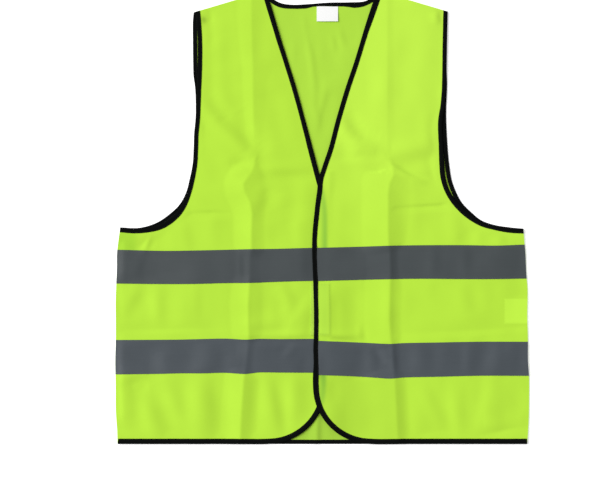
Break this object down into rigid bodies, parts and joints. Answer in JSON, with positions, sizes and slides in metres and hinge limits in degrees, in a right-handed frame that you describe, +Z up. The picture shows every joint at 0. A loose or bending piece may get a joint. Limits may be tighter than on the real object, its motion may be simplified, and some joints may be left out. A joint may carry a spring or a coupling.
{
  "type": "safety vest",
  "caption": "Sleeveless high-visibility vest with V neck, bound edges and reflective tapes round the body, closed in front and laid flat on its back.",
  "frame": {"origin": "middle of the laid vest's outline, on the surface that it lies on", "axes": "+X towards the wearer's left, +Y from hem to neck, +Z up out of the surface"},
  "size_m": [0.6148, 0.674, 0.0114],
  "materials": {
    "knit": "fine fluorescent yellow-green polyester knit, matt",
    "reflective_tape": "grey retroreflective tape, fine satin grain",
    "binding_tape": "black woven binding tape, matt, one stitch row",
    "label": "white woven label cloth, bare",
    "hook_and_loop": "yellow-green hook and loop tape, dull"
  },
  "bodies": {
    "root": {"back": "knit", "front_right": "knit", "front_left": "knit", "back_tape_upper": "reflective_tape", "back_tape_lower": "reflective_tape", "front_right_tape_upper": "reflective_tape", "front_right_tape_lower": "reflective_tape", "front_left_tape_upper": "reflective_tape", "front_left_tape_lower": "reflective_tape", "edge_binding_front_right": "binding_tape", "edge_binding_front_left": "binding_tape", "armhole_binding_front_right": "binding_tape", "armhole_binding_front_left": "binding_tape", "armhole_binding_back_right": "binding_tape", "armhole_binding_back_left": "binding_tape", "neck_binding_back": "binding_tape", "hem_binding_back": "binding_tape", "neck_label": "label", "care_label": "label", "hook_strip": "hook_and_loop", "loop_strip": "hook_and_loop"}
  },
  "joints": []
}
